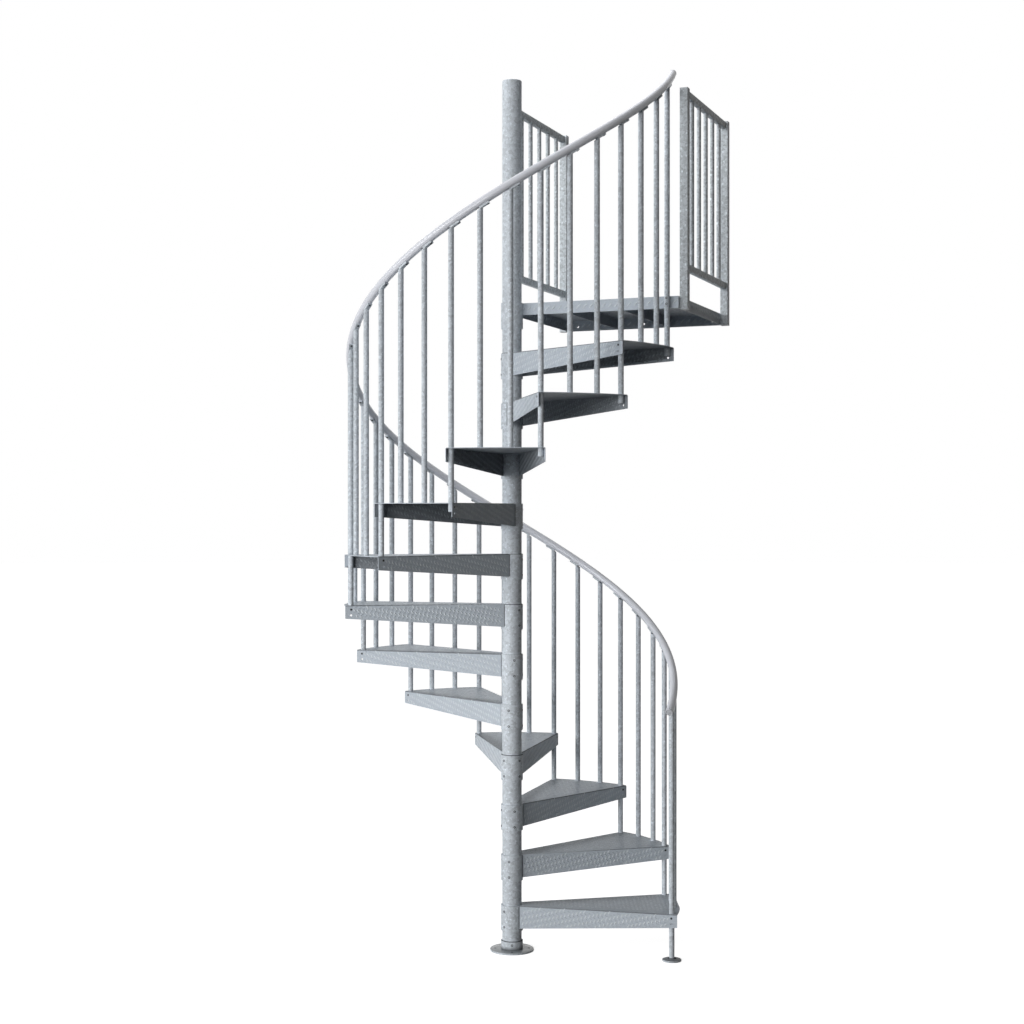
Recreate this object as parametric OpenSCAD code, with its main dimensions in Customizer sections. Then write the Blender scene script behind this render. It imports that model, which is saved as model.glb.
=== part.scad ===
// Outdoor spiral staircase of galvanised steel.
// A tubular column carries twelve folded-plate treads and a square landing.
// Round balusters follow the outer edge up to a helical plastic handrail.
// The origin is on the column axis at floor level, and the landing is left towards +Y.

/* [Climb] */
// Height from one tread to the next
rise = 228.6; // [200:0.1:245]
// Height of the first tread above the floor
first_rise = 209.6; // [160:0.1:245]
// Turn from one tread to the next, in degrees
step_angle = 29.4; // [27:0.1:30]
// Radius of the circle that the balusters stand on
baluster_circle_r = 736.4; // [650:0.1:800]

/* [Column] */
// Outside diameter of the column tube
column_d = 88.9; // [76:0.1:92]
// Wall of the column tube
column_wall = 4; // [3:0.1:8]
// Column and cap standing above the landing
column_above_landing = 1016; // [950:1:1150]
// Height of the cap on the column
cap_h = 38; // [25:1:60]
// Thickness of the cap's top
cap_top_t = 5; // [3:0.1:10]
// Rounding of the cap's top edge
cap_edge_r = 4; // [1:0.1:8]
// Outside diameter of the hub sleeves
hub_d = 100; // [97:0.1:106]
// Height of the hub sleeves
hub_h = 117; // [105:1:130]
// Gap all round between the column and a sleeve
sleeve_clearance = 0.3; // [0.1:0.05:0.6]

/* [Base] */
// Diameter of the base plate
base_d = 200; // [185:1:260]
// Thickness of the base plate
base_t = 8; // [5:0.5:15]
// Height of the collar above the base plate
collar_h = 41; // [25:1:70]
// Diameter of the circle of floor bolts
base_bolt_circle_d = 153; // [140:1:165]
// Diameter of a floor bolt hole
base_hole_d = 11; // [9:0.5:14]

/* [Treads] */
// Thickness of the folded plate
plate_t = 3; // [2:0.1:5]
// Tread standing out past the baluster circle
tread_overhang = 26.6; // [18:0.1:40]
// Half width of the tread where its flanges meet the hub
tread_root_half_w = 38.5; // [34:0.5:44]
// Depth of the flanges at the hub
flange_root_depth = 104; // [80:1:104]
// Depth of the flanges at the outer end
flange_end_depth = 59; // [54:1:75]
// Diameter of the bolt holes at the balusters
tread_hole_d = 9; // [6:0.5:12]
// Drop of the upper bolt hole below the tread
upper_hole_drop = 18; // [14:0.5:22]
// Drop of the lower bolt hole below the tread
lower_hole_drop = 44; // [38:0.5:47]

/* [Balusters] */
// Diameter of a baluster
baluster_d = 24; // [20:0.5:28]
// Gap all round between a baluster and its hole
baluster_clearance = 0.3; // [0.1:0.05:0.5]
// Gap between a corner baluster and the flange beside it
flange_gap = 0.8; // [0.6:0.05:0.95]
// Tail of a corner baluster below the lower tread's top
baluster_tail = 37; // [28:1:52]
// Diameter of the floor disc under the first baluster
foot_d = 86; // [70:1:110]
// Height of the floor disc at its centre
foot_h = 12; // [9:0.5:18]
// Height of the floor disc at its rim
foot_rim_h = 5; // [3:0.5:8]

/* [Handrail] */
// Diameter of the handrail
rail_d = 35.5; // [34:0.5:44]
// Height of the rail's centre above the line of the nosings
rail_height = 938; // [850:1:1000]
// Turn of the rail before the first baluster, in degrees
rail_lead_angle = 4; // [3:0.1:6]
// Turn of the rail past the last baluster, in degrees
rail_tail_angle = 8.5; // [5:0.1:12]
// Height of the domed end caps
rail_cap_h = 10; // [4:0.5:16]
// Length of a saddle clip along the rail
clip_len = 47; // [40:1:80]
// Width of a saddle clip
clip_w = 20; // [14:0.5:26]
// Thickness of a saddle clip under the rail
clip_t = 5.5; // [3:0.5:10]
// Gap between a clip and the rail
clip_clearance = 0.2; // [0:0.05:0.5]

/* [Landing] */
// Landing standing out past the baluster circle
landing_overhang = 48.6; // [35:0.1:120]
// Distance from the column axis to the landing's rear face
landing_rear = 760; // [700:1:900]
// Depth of the landing's flanges
landing_flange_depth = 54; // [46:1:80]
// Diameter of the bolt holes in the rear flange
rear_hole_d = 10; // [7:0.5:14]
// Distance from the landing's sides to the outer bolt holes in the rear flange
rear_hole_inset = 49.5; // [25:0.5:120]
// Drop of the rear bolt holes below the landing
rear_hole_drop = 32; // [20:0.5:36]

/* [Guards] */
// Height of the guard posts above the landing
guard_h = 919; // [850:1:1100]
// Side of the square guard posts
post_w = 36; // [28:0.5:45]
// Distance from the column axis to the right guard's front post
post_front = 30; // [14:1:60]
// Gap between the column hub and the left guard's near post
post_hub_gap = 16; // [4:1:30]
// Tail of the posts below the landing's flanges
post_tail = 4; // [0:0.5:20]
// Height of the guard rails' section
guard_rail_h = 30; // [20:0.5:40]
// Width of the guard rails' section
guard_rail_w = 22; // [20:0.5:28]
// Drop of the top rail below the post tops
guard_rail_drop = 6; // [0:0.5:30]
// Clear height under the bottom rail
guard_bottom_gap = 115; // [60:1:140]
// Diameter of a guard bar
guard_bar_d = 20; // [14:0.5:20]
// Spacing of the guard bars
guard_bar_pitch = 115; // [80:1:118]

/* [Hidden] */
$fn = 48;
zinc = "#9aa2a8";
pale_plastic = "#bdbdc8";

tread_count = 12;
bars_per_tread = 3;
last_bar = tread_count * bars_per_tread;
bar_step = step_angle / bars_per_tread;
overcut = 1;

column_r = column_d / 2;
bore_d = column_d + 2 * sleeve_clearance;
hub_r = hub_d / 2;
landing_top = first_rise + tread_count * rise;
column_top = landing_top + column_above_landing;
base_bolt_count = 4;

baluster_r = baluster_d / 2;
baluster_hole_d = baluster_d + 2 * baluster_clearance;
tread_outer_r = baluster_circle_r + tread_overhang;

rail_r = rail_d / 2;
rail_slope = atan2(rise, baluster_circle_r * step_angle * PI / 180);
rail_sides = 16;
rail_rings = 76;

// The outer face of a tread's flange is a line from the hub that just clears the corner baluster.
corner = baluster_circle_r * [cos(step_angle / 2), sin(step_angle / 2)];
flange_offset = baluster_r + flange_gap + plate_t;
root = [sqrt(hub_r * hub_r - tread_root_half_w * tread_root_half_w), tread_root_half_w];
root_to_corner = corner - root;
flange_angle = atan2(root_to_corner.y, root_to_corner.x) + asin(flange_offset / norm(root_to_corner));
flange_dir = [cos(flange_angle), sin(flange_angle)];
root_along = root * flange_dir;
flange_foot = root - root_along * flange_dir;
flange_reach = sqrt(tread_outer_r * tread_outer_r - flange_foot * flange_foot);
corner_along = corner * flange_dir;

// The landing's front flange stands just behind the last baluster.
landing_w = baluster_circle_r + landing_overhang;
landing_front = baluster_r + flange_gap;
landing_l = landing_rear - landing_front;
guard_span_front = post_front + post_w;
guard_span_rear = landing_rear - post_w;
guard_bar_count = 5;

function flange_depth(along) =
    flange_root_depth
    + (flange_end_depth - flange_root_depth) * (along - root_along) / (flange_reach - root_along);
function tread_angle(k) = (k - tread_count - 0.5) * step_angle;
function tread_top(k) = first_rise + (k - 1) * rise;
function bar_angle(i) = (i - last_bar) * bar_step;
function rail_z(i) = first_rise + rail_height + i * rise / bars_per_tread;

// Column

module ring(outer_d, inner_d, h) {
    difference() {
        cylinder(d = outer_d, h = h);
        translate([0, 0, -overcut]) cylinder(d = inner_d, h = h + 2 * overcut);
    }
}

module column() {
    color(zinc)
        translate([0, 0, base_t])
            ring(column_d, column_d - 2 * column_wall, column_top - cap_h - base_t);
}

// The cap stands on the tube's end, in line with its outside.
module column_cap() {
    inner_r = column_r - column_wall;
    color(zinc)
        translate([0, 0, column_top - cap_h])
            difference() {
                union() {
                    cylinder(r = column_r, h = cap_h - cap_edge_r);
                    translate([0, 0, cap_h - cap_edge_r])
                        cylinder(r = column_r - cap_edge_r, h = cap_edge_r);
                    translate([0, 0, cap_h - cap_edge_r])
                        rotate_extrude()
                            translate([column_r - cap_edge_r, 0]) intersection() {
                                circle(r = cap_edge_r);
                                square(cap_edge_r);
                            }
                }
                translate([0, 0, -overcut]) cylinder(r = inner_r, h = cap_h - cap_top_t + overcut);
            }
}

module base_plate() {
    color(zinc)
        difference() {
            union() {
                cylinder(d = base_d, h = base_t);
                cylinder(d = hub_d, h = base_t + collar_h);
            }
            translate([0, 0, base_t]) cylinder(d = bore_d, h = collar_h + overcut);
            for (q = [0 : base_bolt_count - 1])
                rotate(tread_angle(1) + q * 360 / base_bolt_count)
                    translate([base_bolt_circle_d / 2, 0, -overcut])
                        cylinder(d = base_hole_d, h = base_t + 2 * overcut);
        }
}

// Treads

// One tapered flange, with its outer face on the plane y = 0 and its two bolt holes at the baluster.
// It runs from beside the column axis to past the tread's outer edge.
module tread_flange() {
    past_end = flange_reach + plate_t;
    difference() {
        rotate([90, 0, 0])
            linear_extrude(plate_t)
                polygon([
                    [0, 0], [past_end, 0],
                    [past_end, -flange_depth(past_end)], [0, -flange_depth(0)]
                ]);
        for (drop = [upper_hole_drop, lower_hole_drop])
            translate([corner_along, overcut, -drop])
                rotate([90, 0, 0]) cylinder(d = tread_hole_d, h = plate_t + 2 * overcut);
    }
}

// The wedge of plate between the two flanges, reaching half way into each and past the tread's outer edge.
module tread_plate() {
    inward = [flange_dir.y, -flange_dir.x];
    near = flange_foot + inward * plate_t / 2;
    far = near + flange_dir * (tread_outer_r + plate_t) / flange_dir.x;
    translate([0, 0, -plate_t])
        linear_extrude(plate_t) polygon([[near.x, -near.y], [far.x, -far.y], far, near]);
}

module tread(k) {
    color(zinc)
        translate([0, 0, tread_top(k)])
            rotate(tread_angle(k))
                difference() {
                    union() {
                        translate([0, 0, -hub_h]) cylinder(d = hub_d, h = hub_h);
                        intersection() {
                            translate([0, 0, -hub_h]) cylinder(r = tread_outer_r, h = hub_h);
                            union() {
                                tread_plate();
                                for (side = [0, 1])
                                    mirror([0, side, 0])
                                        translate([flange_foot.x, flange_foot.y, 0])
                                            rotate(flange_angle) tread_flange();
                            }
                        }
                    }
                    translate([0, 0, -hub_h - overcut]) cylinder(d = bore_d, h = hub_h + 2 * overcut);
                    for (side = [-1, 1])
                        translate([corner.x, side * corner.y, -plate_t - overcut])
                            cylinder(d = baluster_hole_d, h = plate_t + 2 * overcut);
                }
}

// Landing

module landing() {
    rib_step = landing_w / 3;
    fascia = landing_flange_depth;
    rear_hole_places = [rear_hole_inset, landing_w / 2, landing_w - rear_hole_inset];
    color(zinc)
        translate([0, 0, landing_top])
            difference() {
                union() {
                    translate([0, 0, -hub_h]) cylinder(d = hub_d, h = hub_h);
                    translate([0, landing_front, -plate_t]) cube([landing_w, landing_l, plate_t]);
                    for (y = [landing_front, landing_rear - plate_t])
                        translate([0, y, -fascia]) cube([landing_w, plate_t, fascia]);
                    for (x = [0, rib_step - plate_t / 2, 2 * rib_step - plate_t / 2, landing_w - plate_t])
                        translate([x, landing_front, -fascia]) cube([plate_t, landing_l, fascia]);
                }
                translate([0, 0, -hub_h - overcut]) cylinder(d = bore_d, h = hub_h + 2 * overcut);
                for (x = rear_hole_places)
                    translate([x, landing_rear + overcut, -rear_hole_drop])
                        rotate([90, 0, 0]) cylinder(d = rear_hole_d, h = plate_t + 2 * overcut);
            }
}

// Two square posts, two rails and five round bars, with the landing's side at x = 0.
module guard_panel(near_post) {
    post_foot = -landing_flange_depth - post_tail;
    rail_x = (post_w - guard_rail_w) / 2;
    top_rail = guard_h - guard_rail_drop - guard_rail_h;
    rail_from = near_post + post_w - overcut;
    rail_to = guard_span_rear + overcut;
    bars_middle = (guard_span_front + guard_span_rear) / 2;
    bar_foot = guard_bottom_gap + guard_rail_h - overcut;
    for (y = [near_post, guard_span_rear])
        translate([0, y, post_foot]) cube([post_w, post_w, guard_h - post_foot]);
    for (z = [guard_bottom_gap, top_rail])
        translate([rail_x, rail_from, z]) cube([guard_rail_w, rail_to - rail_from, guard_rail_h]);
    for (b = [0 : guard_bar_count - 1])
        translate([post_w / 2, bars_middle + (b - (guard_bar_count - 1) / 2) * guard_bar_pitch, bar_foot])
            cylinder(d = guard_bar_d, h = top_rail + overcut - bar_foot);
}

module landing_guard_left() {
    color(zinc) translate([-post_w, 0, landing_top]) guard_panel(hub_r + post_hub_gap);
}

module landing_guard_right() {
    color(zinc) translate([landing_w, 0, landing_top]) guard_panel(post_front);
}

// Balusters

// A round bar from a foot height up to the sloping underside of its clip.
module baluster(i, foot_z) {
    cut = 2 * baluster_d;
    rotate(bar_angle(i))
        translate([baluster_circle_r, 0, 0])
            difference() {
                translate([0, 0, foot_z]) cylinder(d = baluster_d, h = rail_z(i) - foot_z);
                translate([0, 0, rail_z(i)])
                    rotate([rail_slope, 0, 0])
                        translate([-cut, -cut, -rail_r - clip_t]) cube(2 * cut);
            }
}

function corner_foot(k) = k == 0 ? foot_h : tread_top(k) - baluster_tail;

// The bar at a tread's front corner and the two that stand on its plate.
module tread_balusters(k) {
    front_bar = (k - 1) * bars_per_tread;
    color(zinc) {
        baluster(front_bar, corner_foot(k - 1));
        for (b = [1 : bars_per_tread - 1])
            baluster(front_bar + b, tread_top(k));
    }
}

module last_baluster() {
    color(zinc) baluster(last_bar, corner_foot(tread_count));
}

module newel_foot() {
    color(zinc)
        rotate(bar_angle(0))
            translate([baluster_circle_r, 0, 0])
                rotate_extrude()
                    polygon([
                        [0, 0], [foot_d / 2, 0], [foot_d / 2, foot_rim_h],
                        [baluster_d, foot_h], [0, foot_h]
                    ]);
}

// Handrail

// Places children at a bar's point on the rail, with Y along the rail uphill and Z square to it.
module on_rail(i) {
    rotate(bar_angle(i))
        translate([baluster_circle_r, 0, rail_z(i)])
            rotate([rail_slope, 0, 0]) children();
}

rail_first = -rail_lead_angle / bar_step;
rail_last = last_bar + rail_tail_angle / bar_step;

function rail_point(i, phi) =
    let (a = bar_angle(i), out = rail_r * cos(phi), up = rail_r * sin(phi))
    [
        (baluster_circle_r + out) * cos(a) + up * sin(rail_slope) * sin(a),
        (baluster_circle_r + out) * sin(a) - up * sin(rail_slope) * cos(a),
        rail_z(i) + up * cos(rail_slope)
    ];

module handrail() {
    ring_step = (rail_last - rail_first) / (rail_rings - 1);
    points = [
        for (r = [0 : rail_rings - 1], s = [0 : rail_sides - 1])
            rail_point(rail_first + r * ring_step, s * 360 / rail_sides)
    ];
    walls = [
        for (r = [0 : rail_rings - 2], s = [0 : rail_sides - 1])
            let (n = (s + 1) % rail_sides, low = r * rail_sides, high = low + rail_sides)
            [low + s, low + n, high + n, high + s]
    ];
    last_ring = (rail_rings - 1) * rail_sides;
    lower_end = [for (s = [rail_sides - 1 : -1 : 0]) s];
    upper_end = [for (s = [0 : rail_sides - 1]) last_ring + s];
    color(pale_plastic) polyhedron(points, concat(walls, [lower_end, upper_end]));
}

// A shallow dome that closes an end of the rail.
module rail_dome() {
    dome_r = (rail_r * rail_r + rail_cap_h * rail_cap_h) / (2 * rail_cap_h);
    intersection() {
        translate([0, 0, rail_cap_h - dome_r]) sphere(r = dome_r);
        cylinder(r = rail_r, h = rail_cap_h + overcut);
    }
}

module handrail_end_caps() {
    color(pale_plastic) {
        on_rail(rail_first) rotate([90, 0, 0]) rail_dome();
        on_rail(rail_last) rotate([-90, 0, 0]) rail_dome();
    }
}

// A short saddle plate under the rail, from each baluster's lower side on uphill.
module handrail_clips() {
    clip_start = -baluster_r / cos(rail_slope);
    saddle_top = -sqrt(rail_r * rail_r - clip_w * clip_w / 4);
    color(zinc)
        for (i = [0 : last_bar])
            on_rail(i) difference() {
                translate([-clip_w / 2, clip_start, -rail_r - clip_t])
                    cube([clip_w, clip_len, saddle_top + rail_r + clip_t]);
                translate([0, clip_start - overcut, 0])
                    rotate([-90, 0, 0]) cylinder(r = rail_r + clip_clearance, h = clip_len + 2 * overcut);
            }
}

column();
column_cap();
base_plate();
newel_foot();
tread(1);  // tread_01
tread(2);  // tread_02
tread(3);  // tread_03
tread(4);  // tread_04
tread(5);  // tread_05
tread(6);  // tread_06
tread(7);  // tread_07
tread(8);  // tread_08
tread(9);  // tread_09
tread(10);  // tread_10
tread(11);  // tread_11
tread(12);  // tread_12
landing();
landing_guard_left();
landing_guard_right();
tread_balusters(1);  // balusters_01
tread_balusters(2);  // balusters_02
tread_balusters(3);  // balusters_03
tread_balusters(4);  // balusters_04
tread_balusters(5);  // balusters_05
tread_balusters(6);  // balusters_06
tread_balusters(7);  // balusters_07
tread_balusters(8);  // balusters_08
tread_balusters(9);  // balusters_09
tread_balusters(10);  // balusters_10
tread_balusters(11);  // balusters_11
tread_balusters(12);  // balusters_12
last_baluster();
handrail();
handrail_end_caps();
handrail_clips();
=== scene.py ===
import math

import bmesh
import bpy
from mathutils import Matrix, Vector


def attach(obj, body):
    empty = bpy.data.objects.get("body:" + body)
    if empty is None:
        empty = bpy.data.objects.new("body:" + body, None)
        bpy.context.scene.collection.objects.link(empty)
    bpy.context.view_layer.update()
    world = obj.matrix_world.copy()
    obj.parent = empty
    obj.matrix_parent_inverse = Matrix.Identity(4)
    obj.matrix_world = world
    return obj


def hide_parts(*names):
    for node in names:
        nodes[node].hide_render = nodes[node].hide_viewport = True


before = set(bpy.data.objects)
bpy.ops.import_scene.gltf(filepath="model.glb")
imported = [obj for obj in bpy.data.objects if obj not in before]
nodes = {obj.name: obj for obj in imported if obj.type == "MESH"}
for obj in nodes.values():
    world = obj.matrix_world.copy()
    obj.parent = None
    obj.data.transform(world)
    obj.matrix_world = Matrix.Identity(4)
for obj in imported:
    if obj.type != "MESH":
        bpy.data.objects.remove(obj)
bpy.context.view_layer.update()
print("frame loaded:", len(nodes), "nodes")

stair = {  # the part's own sizes, in metres and degrees
    "treads": 12, "barsPerTread": 3, "stepAngle": 29.4,
    "rise": 0.2286, "firstRise": 0.2096,
    "barCircle": 0.7364, "treadEdge": 0.763, "hubRadius": 0.05,
    "railHeight": 0.938, "railRadius": 0.01775,
}
lastBar = stair["treads"] * stair["barsPerTread"]
barStep = stair["stepAngle"] / stair["barsPerTread"]
landingTop = stair["firstRise"] + stair["treads"] * stair["rise"]


def treadAngle(k):
    return math.radians((k - stair["treads"] - 0.5) * stair["stepAngle"])


def treadTop(k):
    return stair["firstRise"] + (k - 1) * stair["rise"]


def barAngle(i):
    return math.radians((i - lastBar) * barStep)


def put(tree, kind, sockets=None, **settings):  # one node, with its sockets set or linked
    node = tree.nodes.new(kind)
    for name, value in settings.items():
        setattr(node, name, value)
    for name, value in (sockets or {}).items():
        if isinstance(value, bpy.types.NodeSocket):
            tree.links.new(value, node.inputs[name])
        else:
            node.inputs[name].default_value = value
    return node


def calc(tree, operation, a, b=0.0):
    return put(tree, "ShaderNodeMath", {0: a, 1: b}, operation=operation).outputs[0]


def allOf(tree, *tests):  # true where every test is true
    joined = tests[0]
    for test in tests[1:]:
        joined = calc(tree, "MULTIPLY", joined, test)
    return joined


# camera, floor and light

view = {"distance": 7.679, "turn": 21.9, "eye": 2.0, "lens": 59.09, "sensor": 36.0}

turn = math.radians(view["turn"])
cameraData = bpy.data.cameras.new("photoCamera")
cameraData.sensor_width = view["sensor"]
cameraData.lens = view["lens"]
camera = bpy.data.objects.new("photoCamera", cameraData)
camera.location = (view["distance"] * math.sin(turn), -view["distance"] * math.cos(turn), view["eye"])
camera.rotation_euler = (math.pi / 2, 0, turn)
bpy.context.collection.objects.link(camera)
bpy.context.scene.camera = camera
bpy.context.scene.view_settings.view_transform = "Standard"

studio = {"fill": 0.035, "floorRadius": 60.0, "floorDrop": 0.0005, "floorTone": 0.8, "floorGlow": 0.9,
          "floorBounce": 0.06}
broadLamps = {  # degrees left of the camera and above the floor, strength, width in degrees, colour
    "keyLamp": {"left": 64.0, "height": 3.0, "strength": 2.8, "soft": 44.0, "colour": (1, 1, 1)},
    "frontLamp": {"left": 25.0, "height": 4.0, "strength": 1.08, "soft": 28.0, "colour": (1, 1, 1)},
    "rightLamp": {"left": -60.0, "height": 9.0, "strength": 0.13, "soft": 20.0, "colour": (1, 0.96, 0.9)},
    "backLamp": {"left": 180.0, "height": 3.0, "strength": 1.3, "soft": 10.0, "colour": (1, 1, 1)},
}
softBoxes = {  # metres from the stair's axis, height of the box and of what it faces, watts, side
    "leftBox": {"left": 45.0, "distance": 2.3, "height": 1.3, "aim": 1.1, "watts": 12.0, "side": 0.9},
    "topBox": {"left": 145.0, "distance": 0.45, "height": 5.2, "aim": 1.2, "watts": 40.0, "side": 1.2},
}
noGlare = ("backLamp", "topBox")  # lamps that the treads do not mirror


def grey(level):
    return (level, level, level, 1)


def backgroundRay(tree):  # one for rays that see the background as it is
    path = put(tree, "ShaderNodeLightPath")
    seen = calc(tree, "MAXIMUM", path.outputs["Is Camera Ray"], path.outputs["Is Glossy Ray"])
    return calc(tree, "MAXIMUM", seen, path.outputs["Is Transmission Ray"])


def makeWorld():
    world = bpy.data.worlds.new("studio")
    world.use_nodes = True
    tree = world.node_tree
    tree.nodes.clear()
    fill = put(tree, "ShaderNodeBackground", {"Color": (1, 0.97, 0.92, 1), "Strength": studio["fill"]})
    white = put(tree, "ShaderNodeBackground", {"Color": (1, 1, 1, 1), "Strength": 1.0})
    mixed = put(tree, "ShaderNodeMixShader", {0: backgroundRay(tree), 1: fill.outputs[0],
                                              2: white.outputs[0]})
    put(tree, "ShaderNodeOutputWorld", {"Surface": mixed.outputs[0]})
    bpy.context.scene.world = world


def makeFloor():
    mesh = bpy.data.meshes.new("floor")
    disc = bmesh.new()
    bmesh.ops.create_circle(disc, cap_ends=True, segments=64, radius=studio["floorRadius"])
    bmesh.ops.translate(disc, verts=disc.verts, vec=(0, 0, -studio["floorDrop"]))
    disc.to_mesh(mesh)
    disc.free()
    floor = bpy.data.objects.new("floor", mesh)
    bpy.context.collection.objects.link(floor)
    material = bpy.data.materials.new("paleFloor")
    material.use_nodes = True
    tree = material.node_tree
    tree.nodes.clear()
    glow = put(tree, "ShaderNodeEmission", {"Color": (1, 1, 1, 1), "Strength": studio["floorGlow"]})
    lit = put(tree, "ShaderNodeBsdfDiffuse", {"Color": grey(studio["floorTone"])})
    shown = put(tree, "ShaderNodeAddShader", {0: glow.outputs[0], 1: lit.outputs[0]})
    dull = put(tree, "ShaderNodeBsdfDiffuse", {"Color": grey(studio["floorBounce"])})
    mixed = put(tree, "ShaderNodeMixShader", {0: backgroundRay(tree), 1: dull.outputs[0],
                                              2: shown.outputs[0]})
    put(tree, "ShaderNodeOutputMaterial", {"Surface": mixed.outputs[0]})
    mesh.materials.append(material)


def fromCamera(left, height):  # unit vector towards a lamp, by its angles from the camera
    heading = turn - math.pi / 2 - math.radians(left)
    rise = math.radians(height)
    return Vector((math.cos(heading) * math.cos(rise), math.sin(heading) * math.cos(rise), math.sin(rise)))


def makeLamps():
    for name, want in broadLamps.items():
        light = bpy.data.lights.new(name, "SUN")
        light.energy = want["strength"]
        light.angle = math.radians(want["soft"])
        light.color = want["colour"]
        lamp = bpy.data.objects.new(name, light)
        lamp.rotation_euler = fromCamera(want["left"], want["height"]).to_track_quat("Z", "Y").to_euler()
        lamp.visible_glossy = name not in noGlare
        bpy.context.collection.objects.link(lamp)
    for name, want in softBoxes.items():
        light = bpy.data.lights.new(name, "AREA")
        light.size = want["side"]
        light.energy = want["watts"]
        lamp = bpy.data.objects.new(name, light)
        lamp.location = fromCamera(want["left"], 0) * want["distance"] + Vector((0, 0, want["height"]))
        away = lamp.location - Vector((0, 0, want["aim"]))
        lamp.rotation_euler = away.to_track_quat("Z", "Y").to_euler()
        lamp.visible_camera = False
        lamp.visible_glossy = name not in noGlare
        bpy.context.collection.objects.link(lamp)


makeWorld()
makeFloor()
makeLamps()
print("camera, floor and lamps placed")

# finishes

plainZinc = {"dots": 0.0, "dotPitch": 0.05, "dotSize": 0.004, "bump": 0.1, "ior": 1.08}
zincFinish = {  # sizes in metres; what a finish leaves out is as in plainZinc
    "tubeZinc": {"tone": (0.58, 0.625, 0.67), "spangle": 0.012, "contrast": 0.3, "dots": 0.26,
                 "dotPitch": 0.018, "grain": 0.26, "rough": 0.36, "bump": 0.3, "ior": 1.12},
    "plateZinc": {"tone": (0.505, 0.555, 0.61), "spangle": 0.011, "contrast": 0.05, "grain": 0.13,
                  "rough": 0.32},
    # painted light: raised strokes a lighter zinc than the plate, as if catching the light
    "litLugZinc": {"tone": (0.63, 0.675, 0.715), "spangle": 0.02, "contrast": 0.1, "grain": 0.1, "rough": 0.3,
                "ior": 1.12},
    "postZinc": {"tone": (0.53, 0.567, 0.595), "spangle": 0.009, "contrast": 0.4, "dots": 0.42,
                 "dotPitch": 0.06, "dotSize": 0.006, "grain": 0.3, "rough": 0.36, "bump": 0.3, "ior": 1.12},
    # painted shade: the newel foot's upward faces are given a dark zinc
    "footTopShadeZinc": {"tone": (0.27, 0.29, 0.315), "spangle": 0.012, "contrast": 0.2, "grain": 0.2, "rough": 0.4,
                 "bump": 0.2, "ior": 1.15},
    # painted shade: a darker zinc for the plate's underside and the inner faces of the flanges
    "underShadeZinc": {"tone": (0.288, 0.312, 0.34), "spangle": 0.01, "contrast": 0.15, "grain": 0.2,
                  "rough": 0.4},
    # painted shade of the inner faces, a little lighter on the strokes of the lean that stands in for
    # catching the light
    "litLugUnderShadeZinc": {"tone": (0.4, 0.432, 0.463), "spangle": 0.01, "contrast": 0.15, "grain": 0.1,
                     "rough": 0.4},
    # painted shade: a dark band on the rounded fold between the top and a flange
    "foldShadeZinc": {"tone": (0.23, 0.25, 0.275), "spangle": 0.01, "contrast": 0.15, "grain": 0.12, "rough": 0.5},
    "baseZinc": {"tone": (0.36, 0.39, 0.41), "spangle": 0.012, "contrast": 0.14, "dots": 0.05,
                 "dotPitch": 0.02, "grain": 0.14, "rough": 0.16, "ior": 1.4},
    # painted shade: darker towards the floor
    "collarShadeZinc": {"tone": (0.6, 0.645, 0.69), "spangle": 0.02, "contrast": 0.25, "dots": 0.1,
                   "dotPitch": 0.018, "grain": 0.2, "rough": 0.36, "bump": 0.2, "ior": 1.12,
                   "shadeBelow": (0.0, 0.035)},
    # painted shade: dark zinc on the hub and collar top chamfers, the beads at the flange roots, the ring
    # round the newel bar and the base plate's bolt holes
    "seamShadeZinc": {"tone": (0.13, 0.14, 0.155), "spangle": 0.01, "contrast": 0.3, "grain": 0.2, "rough": 0.6,
                 "bump": 0.2},
}
zincTexture = {  # what all the zinc finishes share
    "warpScale": 60.0, "warp": 0.012, "grainScale": 230.0, "dotStretch": 1.5, "dotScatter": 0.7,
    "smoother": 0.06, "rougher": 0.08, "relief": 0.0006, "shadeBelowLeast": 0.04,
}


def newMaterial(name):
    material = bpy.data.materials.new(name)
    material.use_nodes = True
    material.node_tree.nodes.clear()
    return material, material.node_tree


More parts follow.
